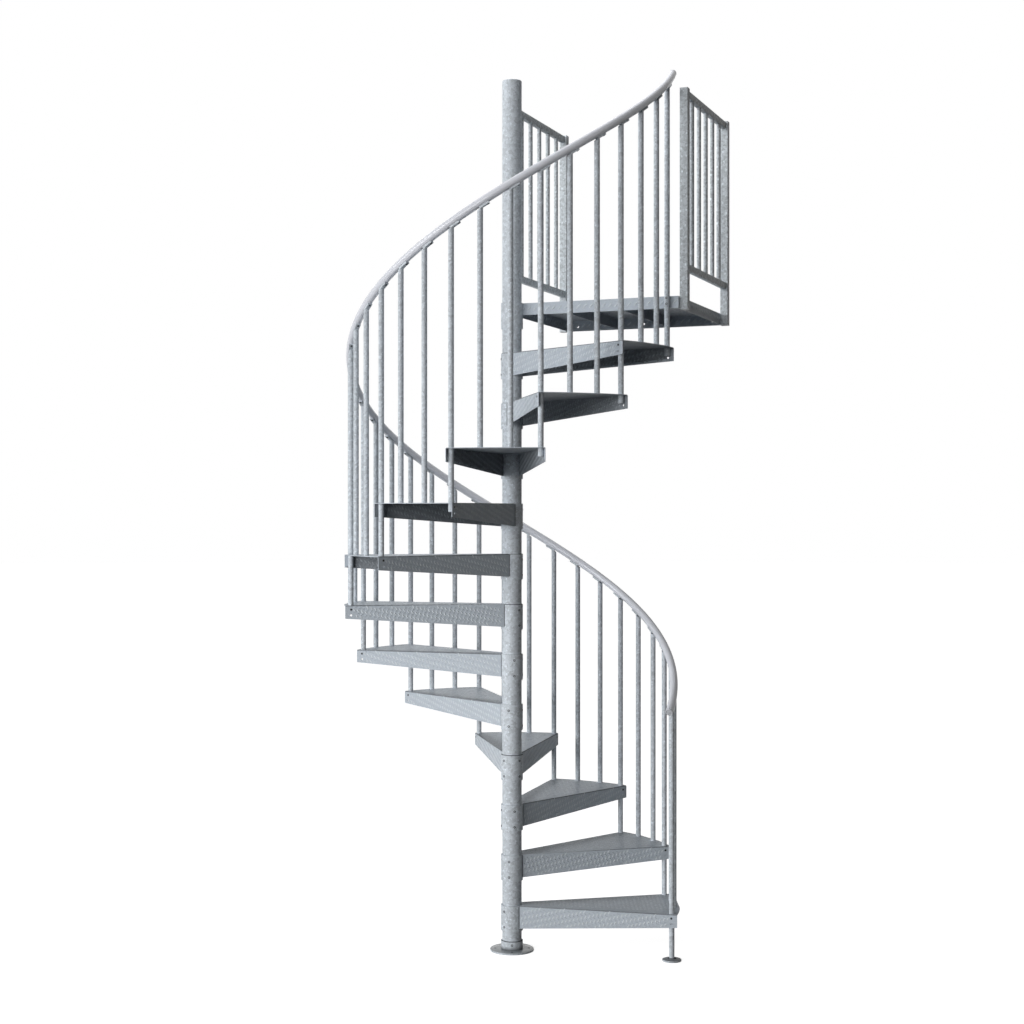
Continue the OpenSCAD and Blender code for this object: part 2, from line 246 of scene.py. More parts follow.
def zincMaterial(name):  # crystals of zinc with a few bright ones, fine grain and a dull sheen
    want = dict(plainZinc, **zincFinish[name])
    material, tree = newMaterial(name)
    place = put(tree, "ShaderNodeTexCoord").outputs["Object"]
    warp = put(tree, "ShaderNodeTexNoise",
               {"Vector": place, "Scale": zincTexture["warpScale"], "Detail": 2.0})
    pushed = put(tree, "ShaderNodeVectorMath", {0: warp.outputs["Color"], 3: zincTexture["warp"]},
                 operation="SCALE")
    moved = put(tree, "ShaderNodeVectorMath", {0: place, 1: pushed.outputs[0]}, operation="ADD").outputs[0]
    crystals = put(tree, "ShaderNodeTexVoronoi", {"Vector": moved, "Scale": 1 / want["spangle"]})
    shade = put(tree, "ShaderNodeSeparateColor", {0: crystals.outputs["Color"]})
    level = calc(tree, "MULTIPLY", calc(tree, "SUBTRACT", shade.outputs[0], 0.5), want["contrast"])
    spread, flat = place, "3D"
    if name == "postZinc":  # the same dots on all four sides of a square tube
        flat = "2D"
        axes = put(tree, "ShaderNodeSeparateXYZ", {0: place})
        side = calc(tree, "ADD", axes.outputs[0], axes.outputs[1])
        stretched = calc(tree, "MULTIPLY", side, zincTexture["dotStretch"])
        spread = put(tree, "ShaderNodeCombineXYZ", {0: stretched, 1: axes.outputs[2]}).outputs[0]
    cells = put(tree, "ShaderNodeTexVoronoi",
                {"Vector": spread, "Scale": 1 / want["dotPitch"], "Randomness": zincTexture["dotScatter"]},
                voronoi_dimensions=flat)
    reach = want["dotSize"] / want["dotPitch"]
    dot = put(tree, "ShaderNodeMapRange", {"Value": cells.outputs["Distance"], "From Min": 0.6 * reach,
                                           "From Max": 1.2 * reach, "To Min": want["dots"], "To Max": 0.0})
    grain = put(tree, "ShaderNodeTexNoise",
                {"Vector": place, "Scale": zincTexture["grainScale"], "Detail": 3.0, "Roughness": 0.6})
    grainLevel = calc(tree, "MULTIPLY", calc(tree, "SUBTRACT", grain.outputs[0], 0.5), 2 * want["grain"])
    bright = calc(tree, "ADD", calc(tree, "ADD", level, dot.outputs[0]), grainLevel)
    scale = calc(tree, "ADD", bright, 1.0)
    if "shadeBelow" in want:  # painted shade, darker towards the floor
        height = put(tree, "ShaderNodeSeparateXYZ", {0: place}).outputs[2]
        low, high = want["shadeBelow"]
        unshaded = put(tree, "ShaderNodeMapRange",
                    {"Value": height, "From Min": low, "From Max": high,
                     "To Min": zincTexture["shadeBelowLeast"], "To Max": 1.0}, interpolation_type="SMOOTHSTEP")
        scale = calc(tree, "MULTIPLY", scale, unshaded.outputs[0])
    tone = put(tree, "ShaderNodeVectorMath", {0: want["tone"], 3: scale}, operation="SCALE")
    rough = put(tree, "ShaderNodeMapRange", {"Value": shade.outputs[2],
                                             "To Min": want["rough"] - zincTexture["smoother"],
                                             "To Max": want["rough"] + zincTexture["rougher"]})
    relief = calc(tree, "ADD", shade.outputs[0], calc(tree, "MULTIPLY", grain.outputs[0], 0.6))
    bump = put(tree, "ShaderNodeBump", {"Strength": want["bump"], "Distance": zincTexture["relief"],
                                        "Height": relief})
    surface = put(tree, "ShaderNodeBsdfPrincipled", {
        "Base Color": tone.outputs[0], "Roughness": rough.outputs[0], "Normal": bump.outputs[0],
        "Metallic": 0.0, "IOR": want["ior"]})
    put(tree, "ShaderNodeOutputMaterial", {"Surface": surface.outputs[0]})
    return material


tubeZinc = zincMaterial("tubeZinc")
plateZinc = zincMaterial("plateZinc")
litLugZinc = zincMaterial("litLugZinc")
postZinc = zincMaterial("postZinc")
seamShadeZinc = zincMaterial("seamShadeZinc")
footTopShadeZinc = zincMaterial("footTopShadeZinc")
foldShadeZinc = zincMaterial("foldShadeZinc")
underShadeZinc = zincMaterial("underShadeZinc")
litLugUnderShadeZinc = zincMaterial("litLugUnderShadeZinc")
baseZinc = zincMaterial("baseZinc")
collarShadeZinc = zincMaterial("collarShadeZinc")

railFinish = {
    "railPlastic": {"low": (0.69, 0.71, 0.77, 1), "high": (0.79, 0.81, 0.87, 1), "rough": 0.15},
    "plugPlastic": {"low": (0.46, 0.475, 0.51, 1), "high": (0.52, 0.535, 0.57, 1), "rough": 0.2},
}


def railMaterial(name):  # moulded plastic, faintly clouded
    want = railFinish[name]
    material, tree = newMaterial(name)
    place = put(tree, "ShaderNodeTexCoord").outputs["Object"]
    cloud = put(tree, "ShaderNodeTexNoise", {"Vector": place, "Scale": 25.0, "Detail": 3.0})
    fine = put(tree, "ShaderNodeTexNoise", {"Vector": place, "Scale": 700.0, "Detail": 2.0})
    tone = put(tree, "ShaderNodeMix", {"Factor": cloud.outputs[0], "A": want["low"], "B": want["high"]},
               data_type="RGBA")
    rough = put(tree, "ShaderNodeMapRange", {"Value": cloud.outputs[0], "To Min": want["rough"],
                                             "To Max": want["rough"] + 0.1})
    bump = put(tree, "ShaderNodeBump", {"Strength": 0.12, "Distance": 0.0003, "Height": fine.outputs[0]})
    surface = put(tree, "ShaderNodeBsdfPrincipled", {
        "Base Color": tone.outputs[2], "Roughness": rough.outputs[0], "Normal": bump.outputs[0], "IOR": 1.5})
    put(tree, "ShaderNodeOutputMaterial", {"Surface": surface.outputs[0]})
    return material


railPlastic = railMaterial("railPlastic")
plugPlastic = railMaterial("plugPlastic")


def screwMaterial():
    material, tree = newMaterial("screwSteel")
    place = put(tree, "ShaderNodeTexCoord").outputs["Object"]
    wear = put(tree, "ShaderNodeTexNoise", {"Vector": place, "Scale": 400.0, "Detail": 2.0})
    tone = put(tree, "ShaderNodeMix", {"Factor": wear.outputs[0], "A": (0.02, 0.022, 0.025, 1),
                                       "B": (0.06, 0.064, 0.07, 1)}, data_type="RGBA")
    surface = put(tree, "ShaderNodeBsdfPrincipled", {"Base Color": tone.outputs[2], "Roughness": 0.45,
                                                     "IOR": 1.27})
    put(tree, "ShaderNodeOutputMaterial", {"Surface": surface.outputs[0]})
    return material


screwSteel = screwMaterial()
print("finishes ready")

# small makers


def newTree(name, wanted, onPoints=False):  # an empty tree with named inputs
    tree = bpy.data.node_groups.new(name, "GeometryNodeTree")
    if onPoints:
        tree.interface.new_socket("Points", in_out="INPUT", socket_type="NodeSocketGeometry")
    kinds = {float: "NodeSocketFloat", int: "NodeSocketInt"}
    for label, value in wanted.items():
        kind = kinds.get(type(value), "NodeSocketMaterial")
        socket = tree.interface.new_socket(label, in_out="INPUT", socket_type=kind)
        if kind != "NodeSocketMaterial":
            socket.default_value = value
    tree.interface.new_socket("Mesh", in_out="OUTPUT", socket_type="NodeSocketGeometry")
    return tree, put(tree, "NodeGroupInput").outputs


def closeTree(tree, shape, material):  # instances made real, smooth and given their finish
    real = put(tree, "GeometryNodeRealizeInstances", {0: shape})
    smooth = put(tree, "GeometryNodeSetShadeSmooth", {0: real.outputs[0]})
    finish = put(tree, "GeometryNodeSetMaterial", {0: smooth.outputs[0], "Material": material})
    put(tree, "NodeGroupOutput", {0: finish.outputs[0]})


def meshFromTree(name, tree, wanted, points=None):  # the tree's result as a plain mesh
    host = bpy.data.objects.new(name, points or bpy.data.meshes.new(name))
    bpy.context.collection.objects.link(host)
    modifier = host.modifiers.new(name, "NODES")
    modifier.node_group = tree
    for item in tree.interface.items_tree:
        if item.in_out == "INPUT" and item.name in wanted:
            modifier[item.identifier] = wanted[item.name]
    bpy.context.view_layer.update()
    evaluated = host.evaluated_get(bpy.context.evaluated_depsgraph_get())
    mesh = bpy.data.meshes.new_from_object(evaluated)
    mesh.name = name
    bpy.data.objects.remove(host)
    return mesh


def addPiece(name, mesh, replaced=()):
    piece = bpy.data.objects.new(name, mesh)
    bpy.context.collection.objects.link(piece)
    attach(piece, "root")
    if replaced:
        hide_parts(*replaced)


def shellOf(node):  # a merged copy of a node's mesh, with its flat faces joined
    shell = bmesh.new()
    shell.from_mesh(nodes[node].data)
    bmesh.ops.remove_doubles(shell, verts=shell.verts, dist=1e-6)
    bmesh.ops.dissolve_limit(shell, angle_limit=math.radians(0.3), verts=shell.verts, edges=shell.edges)
    return shell


def roundEdges(shell, edges, radius, segments, finish=-1):
    bmesh.ops.bevel(shell, geom=edges, offset=radius, offset_type="OFFSET", segments=segments, profile=0.5,
                    affect="EDGES", clamp_overlap=True, material=finish)


faceTests = {  # how faces and edges of the solids are told apart
    "level": 0.9, "upright": 0.1, "bigFace": 0.01, "longEdge": 0.4, "sharpEdge": 60, "hubSlack": 0.0005,
    "onEdge": 2e-4,
}
turnedSharp = 50  # degrees; turned shapes are smooth over edges less sharp than this


def isConvex(edge):
    sharp = math.radians(faceTests["sharpEdge"])
    return len(edge.link_faces) == 2 and edge.calc_face_angle_signed(0.0) > sharp


def longEdges(shell):  # the long outer edges of folded plate and of square tube
    return [e for e in shell.edges if e.calc_length() > faceTests["longEdge"] and isConvex(e)]


def besideTop(edge):
    return max(f.normal.z for f in edge.link_faces) > faceTests["level"]


def isHub(face):
    return max(v.co.xy.length for v in face.verts) < stair["hubRadius"] + faceTests["hubSlack"]


def isUpright(face):
    return abs(face.normal.z) < faceTests["upright"]


def numbersOf(finishes):  # each finish's number in a mesh's list of materials
    return {name: i for i, name in enumerate(finishes)}


def paintAll(mesh, number):
    mesh.polygons.foreach_set("material_index", [number] * len(mesh.polygons))


def aroundAxis(tree, radius, angle, height):  # a place on a circle round the column
    return put(tree, "ShaderNodeCombineXYZ", {
        0: calc(tree, "MULTIPLY", radius, calc(tree, "COSINE", angle)),
        1: calc(tree, "MULTIPLY", radius, calc(tree, "SINE", angle)), 2: height}).outputs[0]


def meshFromShell(name, shell, materials, sharp=28):
    for face in shell.faces:
        face.smooth = True
    for edge in shell.edges:
        edge.smooth = len(edge.link_faces) == 2 and edge.calc_face_angle(0.0) < math.radians(sharp)
    mesh = bpy.data.meshes.new(name)
    shell.to_mesh(mesh)
    shell.free()
    for material in materials:
        mesh.materials.append(material)
    return mesh


def addMesh(shell, mesh, matrix):  # joins a transformed copy of a mesh to a shell
    copy = mesh.copy()
    copy.transform(matrix)
    if matrix.determinant() < 0:
        copy.flip_normals()
    shell.from_mesh(copy)
    bpy.data.meshes.remove(copy)


def faceMatrix(foot, along, outward):  # X along, Y up, Z out of a plate's face
    columns = (along, Vector((0, 0, 1)), outward)
    matrix = Matrix.Identity(4)
    for c, axis in enumerate(columns):
        matrix.col[c][:3] = axis
    matrix.translation = foot
    return matrix


def turnedShell(profile, steps):  # a turned shape from (radius, height) points
    shell = bmesh.new()
    rings = []
    for radius, height in profile:
        count = steps if radius > 1e-6 else 1
        turns = [2 * math.pi * s / steps for s in range(count)]
        rings.append([shell.verts.new((radius * math.cos(t), radius * math.sin(t), height)) for t in turns])
    for low, high in zip(rings, rings[1:]):
        for s in range(steps):
            n = (s + 1) % steps
            corners = (low[s % len(low)], low[n % len(low)], high[n % len(high)], high[s % len(high)])
            corners = list(dict.fromkeys(corners))
            if len(corners) > 2:
                shell.faces.new(corners)
    bmesh.ops.recalc_face_normals(shell, faces=shell.faces)
    return shell


def hubEdges(shell, top):  # the outer top edge of a hub or collar
    edge, near = stair["hubRadius"], faceTests["onEdge"]
    return [e for e in shell.edges if isConvex(e)
            and all(abs(v.co.xy.length - edge) < near and abs(v.co.z - top) < near for v in e.verts)]


# treads: folded plate with raised lugs on its top and on both faces of its flanges

tearPattern = {
    "Columns": 48, "Rows": 31, "Pitch": 0.0183, "Row": 0.0123, "Turn": 0.0,
    "Start": 0.03, "Length": 0.76, "Root Depth": 0.1, "End Depth": 0.058, "Edge": 0.008,
    "Bare From": 0.715, "Lug Length": 0.0185, "Lug Width": 0.0068, "Lug Height": 0.0014, "Lean": 0.7,
    "Arc": 9.0, "Arc Offset": 0.0, "Material": litLugZinc,
}


def makeTearTree():
    tree, given = newTree("tearPattern", tearPattern)
    width = calc(tree, "MULTIPLY", given["Pitch"], calc(tree, "SUBTRACT", given["Columns"], 1.0))
    height = calc(tree, "MULTIPLY", given["Row"], calc(tree, "SUBTRACT", given["Rows"], 1.0))
    grid = put(tree, "GeometryNodeMeshGrid", {"Size X": width, "Size Y": height,
                                              "Vertices X": given["Columns"], "Vertices Y": given["Rows"]})
    index = put(tree, "GeometryNodeInputIndex").outputs[0]
    column = calc(tree, "FLOOR", calc(tree, "DIVIDE", calc(tree, "ADD", index, 0.5), given["Rows"]))
    parity = calc(tree, "FLOORED_MODULO", calc(tree, "ADD", index, column), 2.0)
    way = calc(tree, "SUBTRACT", calc(tree, "MULTIPLY", parity, 2.0), 1.0)
    lean = calc(tree, "MULTIPLY", way, given["Lean"])
    kept = put(tree, "GeometryNodeStoreNamedAttribute", {0: grid.outputs[0], "Name": "lean", "Value": lean},
               data_type="FLOAT", domain="POINT")
    across = calc(tree, "MULTIPLY", given["Length"], 0.5)
    down = calc(tree, "MULTIPLY", given["Root Depth"], -0.5)
    middle = put(tree, "ShaderNodeCombineXYZ", {0: across, 1: down})
    spin = put(tree, "ShaderNodeCombineXYZ", {2: given["Turn"]})
    turned = put(tree, "GeometryNodeTransform", {0: kept.outputs[0], "Translation": middle.outputs[0],
                                                 "Rotation": spin.outputs[0]})
    spot = put(tree, "ShaderNodeSeparateXYZ", {0: put(tree, "GeometryNodeInputPosition").outputs[0]})
    share = calc(tree, "DIVIDE", calc(tree, "SUBTRACT", spot.outputs[0], given["Start"]),
                 calc(tree, "SUBTRACT", given["Length"], given["Start"]))
    taper = calc(tree, "MULTIPLY", share, calc(tree, "SUBTRACT", given["End Depth"], given["Root Depth"]))
    depth = calc(tree, "ADD", given["Root Depth"], taper)
    sideways = calc(tree, "ADD", spot.outputs[1], given["Arc Offset"])
    fromAxis = calc(tree, "SQRT", calc(tree, "ADD", calc(tree, "POWER", spot.outputs[0], 2.0),
                                       calc(tree, "MULTIPLY", sideways, sideways)))
    inside = allOf(
        tree,
        calc(tree, "GREATER_THAN", spot.outputs[0], calc(tree, "ADD", given["Start"], given["Edge"])),
        calc(tree, "LESS_THAN", spot.outputs[0], given["Bare From"]),
        calc(tree, "LESS_THAN", spot.outputs[1], calc(tree, "MULTIPLY", given["Edge"], -1.0)),
        calc(tree, "GREATER_THAN", spot.outputs[1], calc(tree, "SUBTRACT", given["Edge"], depth)),
        calc(tree, "LESS_THAN", fromAxis, given["Arc"]))
    trimmed = put(tree, "GeometryNodeDeleteGeometry", {0: turned.outputs[0],
                                                       "Selection": calc(tree, "LESS_THAN", inside, 0.5)})
    lug = put(tree, "GeometryNodeMeshCone", {"Vertices": 8, "Radius Top": 0.45, "Radius Bottom": 1.0,
                                             "Depth": 1.0})
    openLug = put(tree, "GeometryNodeDeleteGeometry", {0: lug.outputs["Mesh"],
                                                       "Selection": lug.outputs["Bottom"]}, domain="FACE")
    size = put(tree, "ShaderNodeCombineXYZ", {0: calc(tree, "MULTIPLY", given["Lug Length"], 0.5),
                                              1: calc(tree, "MULTIPLY", given["Lug Width"], 0.5),
                                              2: given["Lug Height"]})
    stored = put(tree, "GeometryNodeInputNamedAttribute", {0: "lean"}, data_type="FLOAT")
    heading = put(tree, "ShaderNodeCombineXYZ", {2: calc(tree, "ADD", stored.outputs[0], given["Turn"])})
    facing = put(tree, "FunctionNodeEulerToRotation", {0: heading.outputs[0]})
    lugs = put(tree, "GeometryNodeInstanceOnPoints",
               {"Points": trimmed.outputs[0], "Instance": openLug.outputs[0],
                "Rotation": facing.outputs[0], "Scale": size.outputs[0]})
    closeTree(tree, lugs.outputs[0], given["Material"])
    return tree


tearTree = makeTearTree()

tread = {
    "rootHalfWidth": 0.0385, "plate": 0.003, "flangeOffset": 0.0158, "foldRadius": 0.0042,
    "rootDepth": 0.104, "endDepth": 0.059, "topLug": 0.0005, "hubChamfer": 0.003,
    "weld": 0.0024, "weldFoot": 0.002, "weldShort": 0.005, "weldEnd": 0.001,
    "bareEnd": 0.014, "topStart": 0.03, "topRim": 0.012, "topEdge": 0.014,
}
treadFinishes = {
    "plate": plateZinc, "tube": tubeZinc, "seam": seamShadeZinc, "lug": litLugZinc, "fold": foldShadeZinc,
    "under": underShadeZinc, "underLug": litLugUnderShadeZinc,
}


def rootPoint(side=1):  # where a flange's outer face meets the hub
    half = tread["rootHalfWidth"]
    return Vector((math.sqrt(stair["hubRadius"] ** 2 - half ** 2), side * half))


def flangeLine():  # where a flange's outer face starts beside the column, its direction and its reach
    half = math.radians(stair["stepAngle"] / 2)
    corner = Vector((math.cos(half), math.sin(half))) * stair["barCircle"]
    root = rootPoint()
    gap = corner - root
    angle = math.atan2(gap.y, gap.x) + math.asin(tread["flangeOffset"] / gap.length)
    along = Vector((math.cos(angle), math.sin(angle)))
    start = root.dot(along)
    foot = root - start * along
    reach = math.sqrt(stair["treadEdge"] ** 2 - foot.length_squared)
    return foot, along, start, reach, corner.dot(along), angle


def weldMatrix(side):  # upright along the line where a flange meets the hub
    drop = tread["rootDepth"] - tread["weldFoot"]
    return Matrix.Translation(rootPoint(side).to_3d() - Vector((0, 0, drop)))


def isUnder(face, angle):  # the plate's underside and the inner faces of the flanges, which get the painted shade
    across = Vector((-math.sin(angle), math.cos(angle), 0))
    inward = face.normal.dot(across) * face.calc_center_median().dot(across) < 0
    return face.normal.z < -faceTests["level"] or (
        face.calc_area() > faceTests["bigFace"] and isUpright(face) and inward)


def makeTreads():
    foot, along, start, reach, corner, angle = flangeLine()
    tearPattern.update({"Start": start, "Length": reach, "Root Depth": tread["rootDepth"],
                        "End Depth": tread["endDepth"], "Turn": angle,
                        "Bare From": corner - tread["bareEnd"]})
    number = numbersOf(treadFinishes)
    lugs = meshFromTree("treadLugs", tearTree, tearPattern)
    lean = lugs.attributes["lean"].data
    for face in lugs.polygons:  # painted light: the strokes that rise outwards get the lighter zinc, as if their flanks caught the light; the others keep the plate's
        face.material_index = number["lug" if lean[face.vertices[0]].value > 0 else "plate"]
    # on the inner faces the strokes keep the painted shade: the lit lean a lighter shaded zinc, the other
    # lean the underside's
    innerLugs = lugs.copy()
    for face in innerLugs.polygons:
        face.material_index = number["underLug" if face.material_index == number["lug"] else "under"]
    gapAtRoot = 2 * (foot.y + start * along.y)
    gapAtEnd = 2 * (foot.y + reach * along.y)
    tops = meshFromTree("treadTopLugs", tearTree, dict(tearPattern, **{
        "Columns": 62, "Rows": 68, "Turn": -angle,
        "Root Depth": gapAtRoot * along.x, "End Depth": gapAtEnd * along.x,
        "Start": start + tread["topStart"], "Bare From": 2.0, "Lug Height": tread["topLug"],
        "Arc": stair["treadEdge"] - tread["topRim"], "Arc Offset": foot.length, "Edge": tread["topEdge"]}))
    paintAll(tops, number["tube"])
    topFace = faceMatrix(Vector((foot.x, foot.y, 0)), Vector((along.x, along.y, 0)), Vector((0, 0, 1)))
    topFace.col[1][:3] = (-along.y, along.x, 0)
    weldHeight = tread["rootDepth"] - tread["weldShort"]
    weldProfile = [(0, 0), (tread["weld"], tread["weldEnd"]),
                   (tread["weld"], weldHeight - tread["weldEnd"]), (0, weldHeight)]
    # a thin bead where each flange meets the hub, in the dark zinc: painted shade
    bead = meshFromShell("weldShadeBead", turnedShell(weldProfile, 8), [])
    paintAll(bead, number["seam"])
    faces = []
    for side in (1, -1):
        direction = Vector((along.x, side * along.y, 0))
        outward = Vector((-along.y, side * along.x, 0))
        outer = Vector((foot.x, side * foot.y, 0))
        faces.append((faceMatrix(outer, direction, outward),
                      faceMatrix(outer - tread["plate"] * outward, direction, -outward)))
    for k in range(1, stair["treads"] + 1):
        node = f"tread_{k:02d}"
        shell = shellOf(node)
        for face in shell.faces:
            if isHub(face):
                face.material_index = number["tube"]
            # painted shade: the underside and the inner flange faces take the darker zinc
            elif isUnder(face, treadAngle(k)):
                face.material_index = number["under"]
        # the rounded folds get the dark zinc: painted shade along the bend
        folds = [e for e in longEdges(shell) if besideTop(e)]
        roundEdges(shell, folds, tread["foldRadius"], 4, number["fold"])
        # the hub's top chamfer takes the dark zinc: painted shade
        roundEdges(shell, hubEdges(shell, treadTop(k)), tread["hubChamfer"], 1, number["seam"])
        place = Matrix.Translation((0, 0, treadTop(k))) @ Matrix.Rotation(treadAngle(k), 4, "Z")
        for outer, inner in faces:
            addMesh(shell, lugs, place @ outer)
            addMesh(shell, innerLugs, place @ inner)
        addMesh(shell, tops, place @ topFace)
        for side in (1, -1):
            addMesh(shell, bead, place @ weldMatrix(side))
        mesh = meshFromShell(node, shell, treadFinishes.values())
        addPiece(f"tread{k:02d}", mesh, [node])
    print("treads made, with", len(lugs.polygons), "lug faces on each flange face")


makeTreads()

# balusters: round tubes from the treads up to the clips under the rail

railSlope = math.atan2(stair["rise"], stair["barCircle"] * math.radians(stair["stepAngle"]))
barShape = {"sides": 28, "bored": 0.1, "rim": 0.00001, "topFrom": 0.99}  # shares of a bar's length
barTubes = {
    "Bars": lastBar + 1, "Circle Radius": stair["barCircle"], "Bar Step": math.radians(barStep),
    "First Angle": barAngle(0), "First Rise": stair["firstRise"],
    "Bar Rise": stair["rise"] / stair["barsPerTread"], "Rail Height": stair["railHeight"], "Slope": railSlope,
    "Clip Drop": 0.02325, "Tail": 0.037, "Foot Height": 0.012, "Tube Radius": 0.012, "Wall": 0.0018,
    "Material": tubeZinc,
}


def makeBarTree():
    tree, given = newTree("barTubes", barTubes)
    perTread = float(stair["barsPerTread"])
    sides, bored = barShape["sides"], barShape["bored"]
    line = put(tree, "GeometryNodeMeshLine", {"Count": given["Bars"]})
    index = put(tree, "GeometryNodeInputIndex").outputs[0]
    angle = calc(tree, "ADD", given["First Angle"], calc(tree, "MULTIPLY", index, given["Bar Step"]))
    place = calc(tree, "FLOORED_MODULO", index, perTread)
    stepStart = calc(tree, "SUBTRACT", index, place)
    treadZ = calc(tree, "ADD", given["First Rise"], calc(tree, "MULTIPLY", stepStart, given["Bar Rise"]))
    isCorner = calc(tree, "LESS_THAN", place, 0.5)
    tail = calc(tree, "ADD", given["Tail"], calc(tree, "MULTIPLY", given["Bar Rise"], perTread))
    lowered = calc(tree, "SUBTRACT", treadZ, calc(tree, "MULTIPLY", isCorner, tail))
    foot = calc(tree, "MAXIMUM", lowered, given["Foot Height"])
    drop = calc(tree, "DIVIDE", given["Clip Drop"], calc(tree, "COSINE", given["Slope"]))
    railZ = calc(tree, "ADD", calc(tree, "ADD", given["First Rise"], given["Rail Height"]),
                 calc(tree, "MULTIPLY", index, given["Bar Rise"]))
    length = calc(tree, "SUBTRACT", calc(tree, "SUBTRACT", railZ, drop), foot)
    spot = aroundAxis(tree, given["Circle Radius"], angle, foot)
    placed = put(tree, "GeometryNodeSetPosition", {0: line.outputs[0], "Position": spot})
    bore = calc(tree, "SUBTRACT", given["Tube Radius"], given["Wall"])
    outer = put(tree, "GeometryNodeMeshCylinder",
                {"Vertices": sides, "Radius": given["Tube Radius"], "Depth": 1.0}, fill_type="NONE")
    raised = put(tree, "GeometryNodeTransform", {0: outer.outputs["Mesh"], "Translation": (0, 0, 0.5)})
    inner = put(tree, "GeometryNodeMeshCylinder", {"Vertices": sides, "Radius": bore, "Depth": bored},
                fill_type="NONE")
    sunk = put(tree, "GeometryNodeTransform", {0: inner.outputs["Mesh"], "Translation": (0, 0, bored / 2)})
    flipped = put(tree, "GeometryNodeFlipFaces", {0: sunk.outputs[0]})
    rim = put(tree, "GeometryNodeMeshCone",
              {"Vertices": sides, "Radius Top": given["Tube Radius"], "Radius Bottom": bore,
               "Depth": barShape["rim"]}, fill_type="NONE")
    stop = put(tree, "GeometryNodeMeshCircle", {"Vertices": sides, "Radius": bore}, fill_type="NGON")
    lid = put(tree, "GeometryNodeTransform", {0: stop.outputs[0], "Translation": (0, 0, bored),
                                              "Rotation": (math.pi, 0, 0)})
    tube = put(tree, "GeometryNodeJoinGeometry")
    for part in (raised, flipped, rim, lid):
        tree.links.new(part.outputs[0], tube.inputs[0])
    along = put(tree, "ShaderNodeSeparateXYZ", {0: put(tree, "GeometryNodeInputPosition").outputs[0]})
    uphill = put(tree, "GeometryNodeStoreNamedAttribute", {0: tube.outputs[0], "Name": "uphill",
                                                           "Value": along.outputs[1]}, data_type="FLOAT")
    share = put(tree, "GeometryNodeStoreNamedAttribute", {0: uphill.outputs[0], "Name": "share",
                                                          "Value": along.outputs[2]}, data_type="FLOAT")
    heading = put(tree, "ShaderNodeCombineXYZ", {2: angle})
    facing = put(tree, "FunctionNodeEulerToRotation", {0: heading.outputs[0]})
    size = put(tree, "ShaderNodeCombineXYZ", {0: 1.0, 1: 1.0, 2: length})
    bars = put(tree, "GeometryNodeInstanceOnPoints",
               {"Points": placed.outputs[0], "Instance": share.outputs[0],
                "Rotation": facing.outputs[0], "Scale": size.outputs[0]})
    real = put(tree, "GeometryNodeRealizeInstances", {0: bars.outputs[0]})
    shareRead = put(tree, "GeometryNodeInputNamedAttribute", {0: "share"}, data_type="FLOAT")
    uphillRead = put(tree, "GeometryNodeInputNamedAttribute", {0: "uphill"}, data_type="FLOAT")
    atTop = calc(tree, "GREATER_THAN", shareRead.outputs[0], barShape["topFrom"])
    climb = calc(tree, "MULTIPLY", uphillRead.outputs[0], calc(tree, "TANGENT", given["Slope"]))
    lift = put(tree, "ShaderNodeCombineXYZ", {2: calc(tree, "MULTIPLY", climb, atTop)})
    cut = put(tree, "GeometryNodeSetPosition", {0: real.outputs[0], "Offset": lift.outputs[0]})
    closeTree(tree, cut.outputs[0], given["Material"])
    return tree


def makeBars():
    mesh = meshFromTree("balusters", makeBarTree(), barTubes)
    mesh.set_sharp_from_angle(angle=math.radians(40))
    stood = [f"balusters_{k:02d}" for k in range(1, stair["treads"] + 1)] + ["last_baluster"]
    addPiece("balusters", mesh, stood)
    print("balusters made:", len(mesh.polygons), "faces")


makeBars()

# handrail: one helical plastic rail

helixRail = {
    "Rings": 320, "Sides": 28, "Rail Radius": stair["railRadius"], "Circle Radius": stair["barCircle"],
    "First Angle": barAngle(0) - math.radians(4.0), "Last Angle": math.radians(8.5),
    "First Height": 0.0, "Last Height": 0.0, "Material": railPlastic,
}
climbPerRadian = stair["rise"] / math.radians(stair["stepAngle"])
railAtLastBar = stair["firstRise"] + stair["railHeight"] + stair["treads"] * stair["rise"]
for end in ("First", "Last"):
    helixRail[f"{end} Height"] = railAtLastBar + helixRail[f"{end} Angle"] * climbPerRadian


def makeRailTree():
    tree, given = newTree("helixRail", helixRail)
    line = put(tree, "GeometryNodeCurvePrimitiveLine")
    rings = put(tree, "GeometryNodeResampleCurve", {"Curve": line.outputs[0], "Count": given["Rings"]})
    share = put(tree, "GeometryNodeSplineParameter").outputs["Factor"]
    sweep = calc(tree, "SUBTRACT", given["Last Angle"], given["First Angle"])
    climb = calc(tree, "SUBTRACT", given["Last Height"], given["First Height"])
    angle = calc(tree, "ADD", given["First Angle"], calc(tree, "MULTIPLY", share, sweep))
    height = calc(tree, "ADD", given["First Height"], calc(tree, "MULTIPLY", share, climb))
    spot = aroundAxis(tree, given["Circle Radius"], angle, height)
    helix = put(tree, "GeometryNodeSetPosition", {0: rings.outputs[0], "Position": spot})
    profile = put(tree, "GeometryNodeCurvePrimitiveCircle", {"Resolution": given["Sides"],
                                                             "Radius": given["Rail Radius"]})
    rail = put(tree, "GeometryNodeCurveToMesh",
               {"Curve": helix.outputs[0], "Profile Curve": profile.outputs[0], "Fill Caps": True})
    closeTree(tree, rail.outputs[0], given["Material"])
    return tree


def makeRail():
    mesh = meshFromTree("handrail", makeRailTree(), helixRail)
    mesh.set_sharp_from_angle(angle=math.radians(50))
    addPiece("handrail", mesh, ["handrail"])
    print("handrail made:", len(mesh.polygons), "faces")


makeRail()

# landing and guards: folded plate and square tube, from the part's own solids

